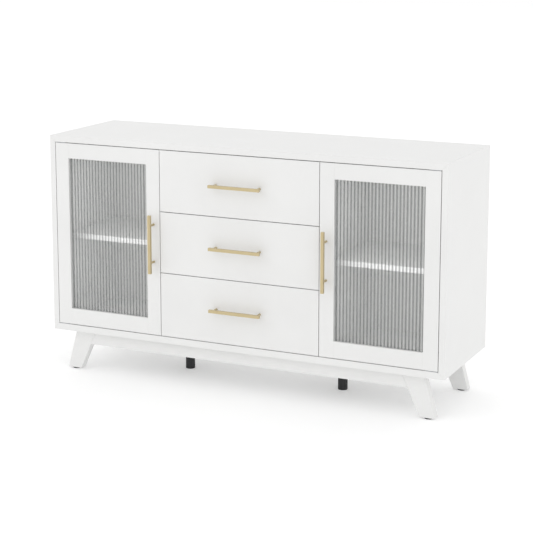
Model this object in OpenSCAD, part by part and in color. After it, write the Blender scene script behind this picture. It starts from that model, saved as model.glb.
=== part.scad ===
// Sideboard with two glazed doors, three drawers and a splayed-leg base.
// Millimetres, +Z up, floor at z = 0, front towards -Y. Each node is one piece, or a set of like pieces.

/* [Case] */
// Overall width of the case
case_w = 1440; // [1150:10:1760]
// Depth of the case, without the handles
case_d = 424; // [400:2:520]
// Height from the floor to the top face
total_h = 832; // [700:2:1000]
// Thickness of each side panel
side_t = 20; // [16:1:25]
// Thickness of the top panel
top_t = 22; // [16:1:30]
// Thickness of the bottom panel
bottom_t = 23; // [16:1:30]
// Thickness of each upright divider
divider_t = 18; // [15:1:22]
// Thickness of the back panel
back_t = 4; // [3:1:6]
// How far the back panel sits in from the rear edges
back_inset = 10; // [6:1:16]

/* [Fronts] */
// Thickness of the doors and drawer fronts, set flush in the case
front_t = 20; // [18:1:25]
// Gap round every door and drawer front
gap = 2.5; // [2.5:0.5:4]
// Width of the drawer fronts
drawer_front_w = 580; // [460:10:700]
// Height of the bottom drawer front; the two above share the rest
bottom_front_h = 218; // [170:2:260]
// Width of the door stiles
stile_w = 50; // [42:1:70]
// Width of the upper door rails
rail_w = 52; // [42:1:70]
// Width of the lower door rails
lower_rail_w = 56; // [42:1:80]
// Depth from the front face of a door to its glass
lip_t = 10.5; // [8:0.5:11]
// Overlap of the door frame round the glass
rebate_w = 8; // [6:1:12]
// Thickness of the glass
glass_t = 5; // [4:0.5:6]

/* [Shelves] */
// Thickness of each shelf
shelf_t = 18; // [15:1:22]
// Height of the shelf's top face above the floor
shelf_z = 477; // [420:1:540]
// How far a shelf's front edge stands back from the case front
shelf_set_back = 80; // [60:5:140]
// Radius of a shelf pin
pin_r = 2.5; // [2:0.5:3]
// Length of a shelf pin, half of it in the panel
pin_l = 16; // [12:2:20]

/* [Drawers] */
// Thickness of the drawer sides and backs
box_t = 12; // [10:1:16]
// Thickness of the drawer bottoms
box_bottom_t = 5; // [3:1:6]
// Length of the drawer sides
box_l = 350; // [300:10:360]
// Side space that each runner takes
runner_space = 13; // [12.5:0.5:14]
// Height of the runner's outer member
runner_h = 35; // [30:1:45]

/* [Handles] */
// Side of the square handle bar
bar_s = 10; // [8:0.5:14]
// Reach of a handle from the front face
handle_reach = 35; // [28:1:45]
// Radius of the handle posts
post_r = 4; // [3:0.5:5]
// Length of a door handle's bar
door_bar_l = 200; // [160:5:260]
// Post spacing of a door handle
door_posts = 128; // [96:32:192]
// Length of a drawer handle's bar
drawer_bar_l = 186; // [180:2:260]
// Post spacing of a drawer handle
drawer_posts = 160; // [96:32:160]
// Distance of a door handle from the door's free edge
handle_inset = 23; // [18:0.5:30]
// Distance of a drawer handle below the top edge of its front
handle_drop = 103; // [60:1:130]

/* [Base] */
// Height of the case's underside above the floor
base_h = 144; // [110:2:200]
// Height of the aprons
apron_h = 48; // [36:1:70]
// Thickness of the legs and aprons
leg_t = 30; // [24:1:40]
// Set-back of the front legs from the case front
base_front_inset = 27; // [15:1:60]
// Set-back of the rear legs from the case back
base_back_inset = 34; // [15:1:60]
// Inset of a leg's outer edge from the case side, at the floor
toe_inset = 36; // [20:1:60]
// Inset of a leg's outer edge from the case side, under the case
shoulder_inset = 75; // [60:1:110]
// Width of a leg at the floor
foot_w = 52; // [40:1:70]
// Width of a leg at the apron's lower edge
knee_w = 69; // [50:1:90]
// Radius of a leg's glide
glide_r = 14; // [9:1:15]
// Thickness of a leg's glide
glide_t = 4; // [3:1:8]
// Radius of a centre foot
centre_foot_r = 16.5; // [12:0.5:25]

/* [Hidden] */
$fn = 48;
eps = 1;                                   // how far a cutting shape runs past what it cuts
DRAWERS = ["bottom_drawer", "middle_drawer", "top_drawer"];
DOORS = ["left_door", "right_door"];

// The row frame's origin is under the middle of the box that holds the case and its handles.
front_y = (handle_reach - case_d) / 2;

half_w = case_w / 2;
inner_x = half_w - side_t;                 // inner face of a side panel
inner_z0 = base_h + bottom_t;              // upper face of the bottom panel
inner_z1 = total_h - top_t;                // lower face of the top panel
back_y = case_d - back_inset - back_t;     // front face of the back panel
inside_y = front_t + 1;                    // front edges of the dividers

// Fronts
front_z0 = inner_z0 + gap;
front_z1 = inner_z1 - gap;
divider_x = drawer_front_w / 2 + gap / 2;  // middle of a divider, under the gap between two fronts
door_x0 = drawer_front_w / 2 + gap;
door_x1 = inner_x - gap;
upper_front_h = (front_z1 - front_z0 - bottom_front_h - 2 * gap) / 2;
function drawer_h(i) = i == 0 ? bottom_front_h : upper_front_h;
function drawer_z(i) = i == 0 ? front_z0 : front_z0 + bottom_front_h + gap + (i - 1) * (upper_front_h + gap);

// Door frame and glass
open_x0 = door_x0 + stile_w;
open_x1 = door_x1 - stile_w;
open_z0 = front_z0 + lower_rail_w;
open_z1 = front_z1 - rail_w;
glass_clear = 0.5;

// Pivot hinges: a pin on a plate turns in a bush in the end of the hinge stile
axis_in = 10;                              // pin axis from the door's hinge edge
axis_y = 6.5;                              // pin axis behind the door's front face
hinge_pin_r = 2.5;
bush_r = 4;
bush_l = 12;
running_clear = 0.05;
plate_t = 1.5;
plate_l = 37;
plate_w = 12;

// Magnetic catches beside the dividers
catch_w = 12;
catch_d = 24;
catch_h = 40;
catch_z = (front_z0 + front_z1) / 2 + 160;
strike_t = 1.2;
strike_clear = 1;                          // between the strike plate and the divider

// Shelves and their pins
bay_x0 = divider_x + divider_t / 2;        // outer face of a divider
shelf_clear = 1.5;
pin_front_y = shelf_set_back + 30;
pin_back_y = back_y - 30;
pin_rows = [-64, 0, 64];
pin_row_z = shelf_z - shelf_t - pin_r;

// Drawer boxes and runners
bay_half = divider_x - divider_t / 2;      // inner face of a divider
box_half = bay_half - runner_space;
box_rise = 26;                             // box above the lower edge of its front
box_drop = 30;                             // box below the upper edge of its front
bottom_rise = 8;
runner_t = 1.2;
runner_y = front_t + 4;
runner_rise = 45;                          // runner's centre line above the box's lower edge
outer_reach = runner_space - 4;
inner_reach = runner_space - 3.5;
runner_play = 1.1;
function box_z(i) = drawer_z(i) + box_rise;
function box_h(i) = drawer_h(i) - box_rise - box_drop;

// Handle screws
screw_r = 2;
screw_in = 8;
head_r = 4;
head_t = 2.4;

// Legs: both edges of a leg are straight lines from the floor to the case
apron_z = base_h - apron_h;
function leg_out(z) = half_w - toe_inset - (shoulder_inset - toe_inset) * z / base_h;
heel_x = leg_out(0) - foot_w;
knee_x = leg_out(apron_z) - knee_w;
function leg_in(z) = heel_x + (knee_x - heel_x) * z / apron_z;
front_leg_y = base_front_inset;
back_leg_y = case_d - base_back_inset - leg_t;
rail_x = leg_in(base_h) - 2 * leg_t;
foot_y = (front_leg_y + leg_t + back_leg_y) / 2;
flange_s = 56;
flange_t = 3;

// ---- Helpers ----

module place() translate([0, front_y, 0]) children();
module on_left() mirror([1, 0, 0]) children();
module both_sides() { children(); on_left() children(); }

// A box from its lowest and highest corners
module block(a, b) translate(a) cube(b - a);

// A prism along Y between two depths, from an outline in X and Z
module slab(y0, y1, outline)
    translate([0, y1, 0]) rotate([90, 0, 0]) linear_extrude(y1 - y0) polygon(outline);

// ---- Case ----

module top_panel() color("white") slab(0, case_d,
    [[-half_w, total_h], [half_w, total_h], [inner_x, inner_z1], [-inner_x, inner_z1]]);

module bottom_panel() color("white") slab(0, case_d,
    [[-half_w, base_h], [half_w, base_h], [inner_x, inner_z0], [-inner_x, inner_z0]]);

// Blind holes for the shelf pins, drilled along X from x in the direction dir
module pin_holes(x, dir) for (row = pin_rows, y = [pin_front_y, pin_back_y])
    translate([x - dir * eps, y, pin_row_z + row]) rotate([0, 90 * dir, 0])
        cylinder(r = pin_r + running_clear, h = pin_l / 2 + 1 + eps);

// Right-hand side panel, mitred to the top and bottom
module side_panel() color("white") difference() {
    slab(0, case_d, [[half_w, base_h], [half_w, total_h], [inner_x, inner_z1], [inner_x, inner_z0]]);
    pin_holes(inner_x, 1);
}

module divider() color("white") difference() {
    block([bay_half, inside_y, inner_z0], [bay_x0, back_y, inner_z1]);
    pin_holes(bay_x0, -1);
}

module back_panel() color("whitesmoke")
    block([-inner_x, back_y, inner_z0], [inner_x, back_y + back_t, inner_z1]);

module shelf() color("white") block([bay_x0 + shelf_clear, shelf_set_back, shelf_z - shelf_t],
                                    [inner_x - shelf_clear, back_y - shelf_clear, shelf_z]);

module shelf_pins() color("silver") both_sides()
    for (x = [bay_x0, inner_x], y = [pin_front_y, pin_back_y])
        translate([x - pin_l / 2, y, pin_row_z]) rotate([0, 90, 0]) cylinder(r = pin_r, h = pin_l);

// ---- Base ----

module leg(y) color("white") slab(y, y + leg_t,
    [[leg_in(glide_t), glide_t], [leg_out(glide_t), glide_t], [leg_out(base_h), base_h], [leg_in(base_h), base_h]]);

module apron(y) color("white") slab(y, y + leg_t,
    [[-leg_in(apron_z), apron_z], [leg_in(apron_z), apron_z], [leg_in(base_h), base_h], [-leg_in(base_h), base_h]]);

module base_cross_rails() color("white") both_sides()
    block([rail_x, front_leg_y + leg_t, apron_z + 8], [rail_x + leg_t * 2 / 3, back_leg_y, base_h]);

module leg_glides() color("black") both_sides() for (y = [front_leg_y, back_leg_y])
    translate([(leg_in(glide_t) + leg_out(glide_t)) / 2, y + leg_t / 2, 0]) cylinder(r = glide_r, h = glide_t);

module centre_feet() color("black") both_sides() translate([divider_x, foot_y, 0]) {
    cylinder(r = centre_foot_r, h = base_h - flange_t);
    translate([-flange_s / 2, -flange_s / 2, base_h - flange_t]) cube([flange_s, flange_s, flange_t]);
}

// ---- Runners ----

// Outer member: a channel on the divider, open towards the drawer
module outer_runner(i) difference() {
    block([bay_half - outer_reach, runner_y, box_z(i) + runner_rise - runner_h / 2],
          [bay_half, runner_y + box_l, box_z(i) + runner_rise + runner_h / 2]);
    block([bay_half - outer_reach - eps, runner_y - eps, box_z(i) + runner_rise - runner_h / 2 + runner_t],
          [bay_half - runner_t, runner_y + box_l + eps, box_z(i) + runner_rise + runner_h / 2 - runner_t]);
}

module cabinet_runners() color("silver") both_sides() for (i = [0:2]) outer_runner(i);

// Inner member: a narrower channel on the drawer side, inside the outer one
inner_runner_h = runner_h - 2 * (runner_t + runner_play);
module inner_runner(i) difference() {
    block([box_half, runner_y, box_z(i) + runner_rise - inner_runner_h / 2],
          [box_half + inner_reach, runner_y + box_l, box_z(i) + runner_rise + inner_runner_h / 2]);
    block([box_half + runner_t, runner_y - eps, box_z(i) + runner_rise - inner_runner_h / 2 + runner_t],
          [box_half + inner_reach + eps, runner_y + box_l + eps, box_z(i) + runner_rise + inner_runner_h / 2 - runner_t]);
}

module drawer_runners(i) color("silver") both_sides() inner_runner(i);

// ---- Hinges and catches ----

hinge_x = door_x1 - axis_in;

module hinge_plate(z, up) translate([hinge_x, axis_y, z]) mirror([0, 0, up ? 0 : 1]) {
    translate([axis_in - 1 - plate_l, -plate_w / 2, 0]) cube([plate_l, plate_w, plate_t]);
    cylinder(r = hinge_pin_r, h = gap + bush_l - 2);
}

module hinge_plates() color("silver") both_sides() {
    hinge_plate(inner_z0, true);
    hinge_plate(inner_z1, false);
}

module hinge_bushes() color("ivory")
    for (z = [front_z0, front_z1 - bush_l]) translate([hinge_x, axis_y, z]) difference() {
        cylinder(r = bush_r, h = bush_l);
        translate([0, 0, -eps]) cylinder(r = hinge_pin_r + running_clear, h = bush_l + 2 * eps);
    }

module catches() color("gainsboro") both_sides()
    block([bay_x0, front_t + 2 * strike_t, catch_z - catch_h / 2],
          [bay_x0 + catch_w, front_t + 2 * strike_t + catch_d, catch_z + catch_h / 2]);

module catch_plate() color("silver")
    block([bay_x0 + strike_clear, front_t, catch_z - catch_h / 3],
          [bay_x0 + catch_w, front_t + strike_t, catch_z + catch_h / 3]);

// ---- Handles ----

// Bar on two posts, along X, with the front face at y = 0
module bar_handle(bar_l, posts) {
    block([-bar_l / 2, -handle_reach, -bar_s / 2], [bar_l / 2, bar_s - handle_reach, bar_s / 2]);
    for (x = [-posts / 2, posts / 2]) translate([x, 0, 0]) rotate([90, 0, 0]) difference() {
        cylinder(r = post_r, h = handle_reach - bar_s);
        translate([0, 0, -eps]) cylinder(r = screw_r + running_clear, h = screw_in + 1 + eps);
    }
}

module handle_screws(posts) for (x = [-posts / 2, posts / 2]) translate([x, 0, 0]) rotate([-90, 0, 0]) {
    translate([0, 0, -screw_in]) cylinder(r = screw_r, h = screw_in + front_t + head_t / 2);
    translate([0, 0, front_t]) cylinder(r = head_r, h = head_t);
}

module screw_holes(posts) for (x = [-posts / 2, posts / 2])
    translate([x, -eps, 0]) rotate([-90, 0, 0]) cylinder(r = screw_r + 0.2, h = front_t + 2 * eps);

module at_door_handle()
    translate([door_x0 + handle_inset, 0, (front_z0 + front_z1) / 2]) rotate([0, 90, 0]) children();
module at_drawer_handle(i) translate([0, 0, drawer_z(i) + drawer_h(i) - handle_drop]) children();

// ---- Doors (right-hand one) ----

module glass_pocket() block([open_x0 - rebate_w, lip_t, open_z0 - rebate_w],
                            [open_x1 + rebate_w, front_t + eps, open_z1 + rebate_w]);

module door_stiles() color("white") difference() {
    for (x = [door_x0, door_x1 - stile_w]) block([x, 0, front_z0], [x + stile_w, front_t, front_z1]);
    glass_pocket();
    at_door_handle() screw_holes(door_posts);
    for (z = [front_z0 - eps, front_z1 - bush_l]) translate([hinge_x, axis_y, z])
        cylinder(r = bush_r, h = bush_l + eps);
}

module door_rails() color("white") difference() {
    for (z = [[front_z0, open_z0], [open_z1, front_z1]]) block([open_x0, 0, z[0]], [open_x1, front_t, z[1]]);
    glass_pocket();
}

module door_glass() color("lightgray", 0.5)
    block([open_x0 - rebate_w + glass_clear, lip_t, open_z0 - rebate_w + glass_clear],
          [open_x1 + rebate_w - glass_clear, lip_t + glass_t, open_z1 + rebate_w - glass_clear]);

module glass_beads() color("white") {
    for (z = [open_z0 - rebate_w, open_z1])
        block([open_x0 - rebate_w, lip_t + glass_t, z], [open_x1 + rebate_w, front_t, z + rebate_w]);
    for (x = [open_x0 - rebate_w, open_x1])
        block([x, lip_t + glass_t, open_z0], [x + rebate_w, front_t, open_z1]);
}

// ---- Drawers ----

module drawer_front(i) color("white") difference() {
    block([-drawer_front_w / 2, 0, drawer_z(i)], [drawer_front_w / 2, front_t, drawer_z(i) + drawer_h(i)]);
    at_drawer_handle(i) screw_holes(drawer_posts);
}

module drawer_sides(i) color("whitesmoke") both_sides()
    block([box_half - box_t, front_t, box_z(i)], [box_half, front_t + box_l, box_z(i) + box_h(i)]);

module drawer_back(i) color("whitesmoke")
    block([box_t - box_half, front_t + box_l - box_t, box_z(i)],
          [box_half - box_t, front_t + box_l, box_z(i) + box_h(i)]);

module drawer_bottom(i) color("whitesmoke")
    block([box_t - box_half, front_t, box_z(i) + bottom_rise],
          [box_half - box_t, front_t + box_l - box_t, box_z(i) + bottom_rise + box_bottom_t]);

// ---- Nodes ----

place() top_panel();
place() bottom_panel();
place() on_left() side_panel();  // left_side_panel
place() side_panel();  // right_side_panel
place() on_left() divider();  // left_divider
place() divider();  // right_divider
place() back_panel();
place() on_left() shelf();  // left_shelf
place() shelf();  // right_shelf
place() shelf_pins();
place() apron(front_leg_y);  // front_apron
place() apron(back_leg_y);  // back_apron
place() base_cross_rails();
place() on_left() leg(front_leg_y);  // front_left_leg
place() leg(front_leg_y);  // front_right_leg
place() on_left() leg(back_leg_y);  // back_left_leg
place() leg(back_leg_y);  // back_right_leg
place() leg_glides();
place() centre_feet();
place() cabinet_runners();
place() hinge_plates();
place() catches();

module hand(d) if (d == 0) on_left() children(); else children();
for (d = [0, 1]) {
    place() hand(d) door_stiles();
    place() hand(d) door_rails();
    place() hand(d) door_glass();
    place() hand(d) glass_beads();
    place() hand(d) at_door_handle() color("gold") bar_handle(door_bar_l, door_posts);
    place() hand(d) at_door_handle() color("silver") handle_screws(door_posts);
    place() hand(d) hinge_bushes();
    place() hand(d) catch_plate();
}

for (i = [0:2]) {
    place() drawer_front(i);
    place() drawer_sides(i);
    place() drawer_back(i);
    place() drawer_bottom(i);
    place() at_drawer_handle(i) color("gold") bar_handle(drawer_bar_l, drawer_posts);
    place() at_drawer_handle(i) color("silver") handle_screws(drawer_posts);
    place() drawer_runners(i);
}
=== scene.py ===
import math

import bmesh
import bpy
import numpy as np
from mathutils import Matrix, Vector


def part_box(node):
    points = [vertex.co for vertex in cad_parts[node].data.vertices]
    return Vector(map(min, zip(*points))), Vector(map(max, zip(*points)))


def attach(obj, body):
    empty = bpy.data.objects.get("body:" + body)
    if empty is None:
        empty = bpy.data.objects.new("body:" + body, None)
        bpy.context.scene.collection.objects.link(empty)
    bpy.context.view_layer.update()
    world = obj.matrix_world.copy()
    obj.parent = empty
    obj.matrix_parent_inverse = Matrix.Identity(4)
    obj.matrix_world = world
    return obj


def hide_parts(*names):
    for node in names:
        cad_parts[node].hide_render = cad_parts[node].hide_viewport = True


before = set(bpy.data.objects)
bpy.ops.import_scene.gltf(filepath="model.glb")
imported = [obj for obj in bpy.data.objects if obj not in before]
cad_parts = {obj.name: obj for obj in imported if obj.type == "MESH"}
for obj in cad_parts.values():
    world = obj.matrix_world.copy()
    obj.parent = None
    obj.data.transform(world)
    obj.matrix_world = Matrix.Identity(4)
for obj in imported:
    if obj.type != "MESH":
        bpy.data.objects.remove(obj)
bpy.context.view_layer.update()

# ---------------------------------------------------------------------------------------------
# Studio: a pale seamless floor, a white surround, three large soft lights and the camera.
# Nothing here belongs to the sideboard.

MM = 0.001
scene = bpy.context.scene
scene.view_settings.view_transform = "Standard"
scene.view_settings.look = "None"


def linear(hex_colour):
    """sRGB hex digits to linear RGBA: a channel c is c/12.92 below 0.04045, else ((c+0.055)/1.055)^2.4."""
    c = np.array([int(hex_colour[i:i + 2], 16) for i in (0, 2, 4)]) / 255
    rgb = np.where(c <= 0.04045, c / 12.92, ((c + 0.055) / 1.055) ** 2.4)
    return (*map(float, rgb), 1.0)


def add_node(material, kind, settings=None, inputs=None):
    """Adds one shader node; an input that is a socket is linked and any other value is set."""
    node = material.node_tree.nodes.new(kind)
    for name, value in (settings or {}).items():
        setattr(node, name, value)
    for name, value in (inputs or {}).items():
        if isinstance(value, bpy.types.NodeSocket):
            material.node_tree.links.new(value, node.inputs[name])
        else:
            node.inputs[name].default_value = value
    return node


def new_material(name, **values):
    """An empty material with a Principled BSDF that has these socket values."""
    material = bpy.data.materials.new(name)
    material.use_nodes = True
    shader = material.node_tree.nodes["Principled BSDF"]
    for socket, value in values.items():
        shader.inputs[socket.replace("_", " ")].default_value = value
    return material, shader


def mesh_piece(name, points, faces, smooth_angle=None):
    """A mesh object at the origin from arrays of points and faces, shaded smooth below an angle."""
    mesh = bpy.data.meshes.new(name)
    mesh.from_pydata(np.asarray(points, float).tolist(), [], np.asarray(faces, int).tolist())
    if smooth_angle is not None:
        mesh.shade_smooth()
        mesh.set_sharp_from_angle(angle=smooth_angle)
    mesh.update()
    piece = bpy.data.objects.new(name, mesh)
    scene.collection.objects.link(piece)
    return piece


# Matt white studio paper. It also glows a little: painted light that lightens the shadow under the case.
floor_paper, _ = new_material("studio_floor_paper", Base_Color=linear("EFEFEF"), Roughness=0.9,
                              Emission_Color=linear("FFFFFF"), Emission_Strength=0.2)
FLOOR_SIZE = 40.0
floor_corners = np.array([[-1, -1, 0], [1, -1, 0], [1, 1, 0], [-1, 1, 0]]) * FLOOR_SIZE / 2
floor = mesh_piece("studio_floor", floor_corners, [(0, 1, 2, 3)])
floor.data.materials.append(floor_paper)

world = bpy.data.worlds.new("studio_surround")
world.use_nodes = True
surround = world.node_tree.nodes["Background"]
surround.inputs["Color"].default_value = linear("FFFFFF")
surround.inputs["Strength"].default_value = 1.0
scene.world = world


def soft_light(name, place, aim, width, height, power):
    """A rectangular area light at place, pointing at aim. Power is in watts."""
    data = bpy.data.lights.new(name, "AREA")
    data.shape = "RECTANGLE"
    data.size = width
    data.size_y = height
    data.energy = power
    lamp = bpy.data.objects.new(name, data)
    scene.collection.objects.link(lamp)
    step = np.array(aim) - np.array(place)
    lamp.location = place
    lamp.rotation_euler = (math.atan2(math.hypot(step[0], step[1]), -step[2]), 0,
                           math.atan2(step[1], step[0]) - math.pi / 2)


soft_light("key_light", (-2.4, -3.6, 3.4), aim=(0, 0, 0.4), width=2.6, height=2.6, power=14)
soft_light("fill_light", (3.6, -2.2, 2.2), aim=(0, 0, 0.4), width=2.6, height=2.6, power=1)
soft_light("top_light", (0.8, 0.4, 4.2), aim=(0, 0, 0.8), width=3.0, height=3.0, power=2)

# Inside each glazed bay a soft light just behind the pane lifts the shelf out of the dark
BEHIND_PANE = 12 * MM
SHARE_OF_PANE = 0.92
BAY_POWER = 0.6
for side in ("left", "right"):
    pane_low, pane_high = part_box(f"{side}_door_glass")
    middle = (pane_low + pane_high) / 2
    middle.y = pane_high.y + BEHIND_PANE
    pane_size = (pane_high - pane_low) * SHARE_OF_PANE
    soft_light(f"{side}_bay_light", middle, aim=(middle.x, middle.y + 1, middle.z),
               width=pane_size.x, height=pane_size.z, power=BAY_POWER)

camera_data = bpy.data.cameras.new("camera")
camera_data.sensor_width = 36.0
camera_data.lens = 105.175
camera_data.shift_y = -0.15
camera = bpy.data.objects.new("camera", camera_data)
camera.location = (2.2225, -4.6741, 1.6016)
camera.rotation_euler = (math.radians(79.851), 0, math.radians(25.305))
scene.collection.objects.link(camera)
scene.camera = camera

# ---------------------------------------------------------------------------------------------
# Lacquered case: MDF boards mitred at the corners, sprayed white and rubbed to a satin sheen.
# Edges are eased by about half a millimetre before spraying. The dividers stand behind the fronts.


def fine_bump(material, shader, scale_mm, depth_mm, stretch=(1, 1, 1)):
    """Noise height on the surface: a lump per scale_mm, depth_mm high, stretched along an axis if asked."""
    place = add_node(material, "ShaderNodeTexCoord")
    turn = add_node(material, "ShaderNodeMapping",
                    inputs={"Vector": place.outputs["Object"], "Scale": stretch})
    noise = add_node(material, "ShaderNodeTexNoise",
                     inputs={"Vector": turn.outputs["Vector"], "Scale": 1 / (scale_mm * MM), "Detail": 2.0})
    bump = add_node(material, "ShaderNodeBump",
                    inputs={"Height": noise.outputs["Fac"], "Distance": depth_mm * MM, "Strength": 1.0})
    material.node_tree.links.new(bump.outputs["Normal"], shader.inputs["Normal"])
    return place, noise


def two_tone(material, shader, noise, low, high, low_at, high_at):
    """Base colour that goes from one hex colour to another as the noise goes from low_at to high_at."""
    ramp = add_node(material, "ShaderNodeValToRGB", inputs={"Fac": noise.outputs["Fac"]})
    for element, position, colour in zip(ramp.color_ramp.elements, (low_at, high_at), (low, high)):
        element.position = position
        element.color = linear(colour)
    material.node_tree.links.new(ramp.outputs["Color"], shader.inputs["Base Color"])


def colour_drift(material, shader, place, low, high, scale_mm):
    """Base colour that drifts between two close hex colours over patches of about scale_mm."""
    patches = add_node(material, "ShaderNodeTexNoise",
                       inputs={"Vector": place.outputs["Object"], "Scale": 1 / (scale_mm * MM),
                               "Detail": 3.0})
    two_tone(material, shader, patches, low, high, low_at=0.35, high_at=0.65)
    return patches


def roughness_drift(material, shader, patches, low, high):
    """Roughness that follows the same patches, from low to high."""
    spread = add_node(material, "ShaderNodeMapRange",
                      inputs={"Value": patches.outputs["Fac"], "From Min": 0.3, "From Max": 0.7,
                              "To Min": low, "To Max": high})
    material.node_tree.links.new(spread.outputs["Result"], shader.inputs["Roughness"])


# Sprayed satin lacquer: even white, a soft sheen, and the faint orange peel of a sprayed coat
lacquer, lacquer_shader = new_material("sprayed_satin_lacquer", IOR=1.5, Coat_Weight=0.12, Coat_Roughness=0.3)
peel_place, _ = fine_bump(lacquer, lacquer_shader, scale_mm=3.5, depth_mm=0.012)
lacquer_patches = colour_drift(lacquer, lacquer_shader, peel_place, "E4E4E3", "E7E7E6", scale_mm=220)
roughness_drift(lacquer, lacquer_shader, lacquer_patches, 0.38, 0.5)


def eased_copy(node, body, material, ease, segments=2):
    """A merged copy of a CAD node with its edges rounded over by ease, standing for that node."""
    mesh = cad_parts[node].data.copy()
    work = bmesh.new()
    work.from_mesh(mesh)
    bmesh.ops.remove_doubles(work, verts=work.verts, dist=1e-5)
    bmesh.ops.dissolve_limit(work, angle_limit=math.radians(1), verts=work.verts, edges=work.edges)
    work.to_mesh(mesh)
    work.free()
    mesh.shade_flat()
    mesh.materials.clear()
    mesh.materials.append(material)
    piece = bpy.data.objects.new(node + "_eased", mesh)
    scene.collection.objects.link(piece)
    rounding = piece.modifiers.new("eased_edges", "BEVEL")
    rounding.width = ease
    rounding.segments = segments
    rounding.limit_method = "ANGLE"
    rounding.angle_limit = math.radians(30)
    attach(piece, body)
    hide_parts(node)
    return piece


CASE_BOARDS = ["top_panel", "bottom_panel", "left_side_panel", "right_side_panel", "left_divider",
               "right_divider", "left_shelf", "right_shelf"]
for node in CASE_BOARDS:
    eased_copy(node, "case", lacquer, ease=0.6 * MM)

# ---------------------------------------------------------------------------------------------
# Foil-faced boards: the back panel and the drawer boxes, thin board wrapped in printed white foil.
# The foil has a fine pressed texture and less sheen than the lacquer.

foil, foil_shader = new_material("pressed_white_foil", IOR=1.48)
foil_place, _ = fine_bump(foil, foil_shader, scale_mm=1.6, depth_mm=0.03)
foil_patches = colour_drift(foil, foil_shader, foil_place, "E1E1DF", "E3E3E1", scale_mm=150)
roughness_drift(foil, foil_shader, foil_patches, 0.5, 0.62)

DRAWERS = ["bottom_drawer", "middle_drawer", "top_drawer"]
eased_copy("back_panel", "case", foil, ease=0.3 * MM)
for drawer in DRAWERS:
    for board in ("sides", "back", "bottom"):
        eased_copy(f"{drawer}_{board}", drawer, foil, ease=0.5 * MM)

# ---------------------------------------------------------------------------------------------
# Base: aprons and splayed legs of solid board, sprayed with the case. Black glides are nailed
# under the legs, and two black tubes on plates hold up the middle.

for node in ("front_apron", "back_apron", "base_cross_rails", "front_left_leg", "front_right_leg",
             "back_left_leg", "back_right_leg"):
    eased_copy(node, "case", lacquer, ease=1.2 * MM)

# Moulded black polyamide: nearly black, dull, with the fine grain of a spark-eroded mould
polyamide, polyamide_shader = new_material("moulded_black_polyamide", IOR=1.53)
grain_place, _ = fine_bump(polyamide, polyamide_shader, scale_mm=0.9, depth_mm=0.05)
polyamide_patches = colour_drift(polyamide, polyamide_shader, grain_place, "17181A", "1E1F21", scale_mm=25)
roughness_drift(polyamide, polyamide_shader, polyamide_patches, 0.48, 0.62)
for node in ("leg_glides", "centre_feet"):
    eased_copy(node, "case", polyamide, ease=0.8 * MM, segments=3)

# ---------------------------------------------------------------------------------------------
# Doors: stiles and rails of lacquered board round a reeded glass pane, held by beads at the back.
# The frame's inner edge is square and stands in front of the glass.

DOORS = ["left_door", "right_door"]
for door in DOORS:
    for part in ("stiles", "rails"):
        eased_copy(f"{door}_{part}", door, lacquer, ease=0.5 * MM)
    eased_copy(f"{door}_glass_beads", door, lacquer, ease=0.5 * MM)

# Reeded glass: clear soda glass, rolled with upright half-round ribs. Real ribs bend light, so each
# looks clear along its crown and dark towards the valleys. This shader bends none: its opacity and
# tint follow the rib count in the UV map, from valley to valley, to paint that look: grey painted
# shade towards the valleys and a near-white painted highlight along each crown.
glass, glass_shader = new_material("rolled_reeded_glass", IOR=1.5)
ripple_place, _ = fine_bump(glass, glass_shader, scale_mm=30, depth_mm=0.04, stretch=(1, 1, 0.25))
glass_patches = add_node(glass, "ShaderNodeTexNoise",
                         inputs={"Vector": ripple_place.outputs["Object"], "Scale": 1 / (60 * MM)})
roughness_drift(glass, glass_shader, glass_patches, 0.05, 0.12)
rib_axis = add_node(glass, "ShaderNodeSeparateXYZ", inputs={"Vector": ripple_place.outputs["UV"]})
across_rib = add_node(glass, "ShaderNodeMath", {"operation": "FRACT"}, {0: rib_axis.outputs["X"]})


def rib_ramp(stops):
    """Values across one rib, from valley to valley, as a ramp over the rib's fraction."""
    ramp = add_node(glass, "ShaderNodeValToRGB", inputs={"Fac": across_rib.outputs["Value"]})
    ramp.color_ramp.interpolation = "EASE"
    for place, _ in stops[2:]:
        ramp.color_ramp.elements.new(place)
    for element, (place, value) in zip(ramp.color_ramp.elements, sorted(stops)):
        element.position = place
        element.color = linear(value) if isinstance(value, str) else (value, value, value, 1)
    return ramp


# Painted shade and highlight: the tint is grey in the valleys and near white along each crown, and the pane
# is more opaque in the valleys
tint = rib_ramp([(0.0, "7C7E7E"), (1.0, "7C7E7E"), (0.25, "A2A4A4"), (0.55, "FAFBFB"), (0.85, "A2A4A4")])
cover = rib_ramp([(0.0, 0.7), (1.0, 0.7), (0.25, 0.4), (0.55, 0.2), (0.85, 0.4)])
glass.node_tree.links.new(tint.outputs["Color"], glass_shader.inputs["Base Color"])
glass.node_tree.links.new(cover.outputs["Color"], glass_shader.inputs["Alpha"])

RIB_PITCH = 12 * MM
RIB_DEPTH = 2.2 * MM
RIB_ARC = 0.96
POINTS_PER_RIB = 10
CORNERS = 4


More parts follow.
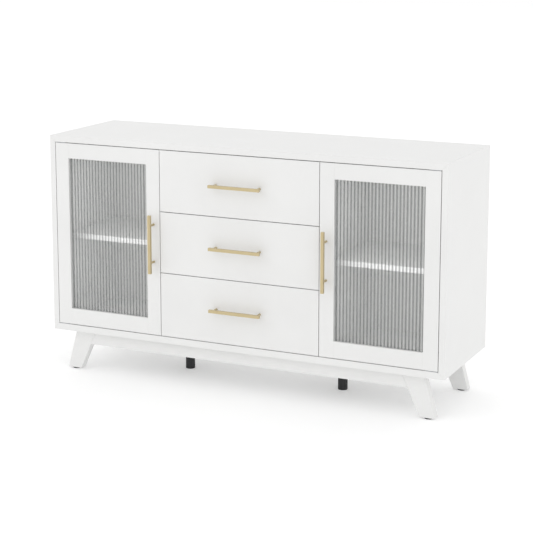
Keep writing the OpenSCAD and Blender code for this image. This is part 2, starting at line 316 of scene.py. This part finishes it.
def reeded_pane(name, low, high):
    """A closed pane. Its front is furthest forward where t = 0 and falls back by 1 - sqrt(1 - t^2), scaled to
    the rib's depth, where t runs from -RIB_ARC to RIB_ARC across a rib. Its back is flat. Columns of four
    points run along x, and the UV map's u counts ribs, so a whole number is the valley between two."""
    ribs = round((high.x - low.x) / RIB_PITCH)
    u = np.linspace(0, ribs, ribs * POINTS_PER_RIB + 1)
    t = RIB_ARC * (2 * (u - np.floor(u)) - 1)
    arch = 1 - np.sqrt(1 - t ** 2)
    x = low.x + (high.x - low.x) * u / ribs
    front = low.y + RIB_DEPTH * arch / arch.max()
    back = np.full_like(x, high.y)
    columns = np.stack([np.stack([x, front, np.full_like(x, low.z)], 1),
                        np.stack([x, front, np.full_like(x, high.z)], 1),
                        np.stack([x, back, np.full_like(x, high.z)], 1),
                        np.stack([x, back, np.full_like(x, low.z)], 1)], 1)
    column = np.arange(len(x) - 1)[:, None] * CORNERS
    corner = np.arange(CORNERS)[None, :]
    around = (corner + 1) % CORNERS
    walls = np.stack([column + corner, column + CORNERS + corner,
                      column + CORNERS + around, column + around], -1).reshape(-1, 4)
    last = (len(x) - 1) * CORNERS
    ends = np.array([[0, 1, 2, 3], [last + 3, last + 2, last + 1, last]])
    pane = mesh_piece(name, columns.reshape(-1, 3), np.vstack([walls, ends]), smooth_angle=math.radians(50))
    rib_count = np.repeat(u, CORNERS)
    points = np.zeros(len(pane.data.loops), int)
    pane.data.loops.foreach_get("vertex_index", points)
    rib_map = pane.data.uv_layers.new(name="ribs")
    rib_map.data.foreach_set("uv", np.stack([rib_count[points], np.zeros(len(points))], 1).ravel())
    return pane


for door in DOORS:
    low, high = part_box(f"{door}_glass")
    pane = reeded_pane(f"{door}_reeded_pane", low, high)
    pane.data.materials.append(glass)
    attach(pane, door)
    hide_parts(f"{door}_glass")

# ---------------------------------------------------------------------------------------------
# Drawer fronts: one flush lacquered board each, screwed to the drawer box from inside.

for drawer in DRAWERS:
    eased_copy(f"{drawer}_front", drawer, lacquer, ease=0.5 * MM)

# ---------------------------------------------------------------------------------------------
# Handles: square brass bars on round posts, brushed along the bar and clear-coated.
# Each is held by two screws through the front.

# Brushed brass: fine straight lines along the bar, so highlights spread across it. The line spacing
# is coarser than a real belt's, so that it shows. The drawers' bars lie along x, the doors' stand upright.
brass, brass_shader = new_material("brushed_brass", Metallic=1.0, Coat_Weight=0.15, Coat_Roughness=0.2)


def brushed(material, shader, low, high, along, rough_low, rough_high):
    """Brush lines: noise drawn out along one axis, driving colour, roughness and a fine bump."""
    squeeze = [1, 1, 1]
    squeeze[along] = 0.02
    _, lines = fine_bump(material, shader, scale_mm=0.7, depth_mm=0.02, stretch=tuple(squeeze))
    two_tone(material, shader, lines, low, high, low_at=0.3, high_at=0.7)
    roughness_drift(material, shader, lines, rough_low, rough_high)


brushed(brass, brass_shader, "BFAE86", "CFC09B", along=0, rough_low=0.3, rough_high=0.42)
upright_brass, upright_shader = new_material("brushed_brass_upright", Metallic=1.0, Coat_Weight=0.15,
                                             Coat_Roughness=0.2)
brushed(upright_brass, upright_shader, "BFAE86", "CFC09B", along=2, rough_low=0.3, rough_high=0.42)
for front in DOORS + DRAWERS:
    eased_copy(f"{front}_handle", front, upright_brass if front in DOORS else brass,
               ease=0.7 * MM, segments=3)

# ---------------------------------------------------------------------------------------------
# Fittings: zinc-plated runners, hinge plates, strikes, shelf pins and screws, with pale grey
# moulded bushes and catches. Rolled sheet edges are only just broken.

# Zinc-plated steel: cool grey, rolled along its length. Moulded acetal: pale, waxy, faintly grained.
zinc, zinc_shader = new_material("zinc_plated_steel", Metallic=1.0)
brushed(zinc, zinc_shader, "A9ACAF", "BDC0C3", along=1, rough_low=0.3, rough_high=0.45)
acetal, acetal_shader = new_material("moulded_grey_acetal", IOR=1.48)
acetal_place, _ = fine_bump(acetal, acetal_shader, scale_mm=0.9, depth_mm=0.03)
acetal_patches = colour_drift(acetal, acetal_shader, acetal_place, "D6D6D4", "DEDEDC", scale_mm=20)
roughness_drift(acetal, acetal_shader, acetal_patches, 0.38, 0.5)
for node in ("shelf_pins", "cabinet_runners", "hinge_plates"):
    eased_copy(node, "case", zinc, ease=0.25 * MM)
eased_copy("catches", "case", acetal, ease=1.0 * MM, segments=3)
for front in DOORS + DRAWERS:
    eased_copy(f"{front}_handle_screws", front, zinc, ease=0.4 * MM)
for drawer in DRAWERS:
    eased_copy(f"{drawer}_runners", drawer, zinc, ease=0.25 * MM)
for door in DOORS:
    eased_copy(f"{door}_catch_plate", door, zinc, ease=0.2 * MM)
    eased_copy(f"{door}_hinge_bushes", door, acetal, ease=0.2 * MM)
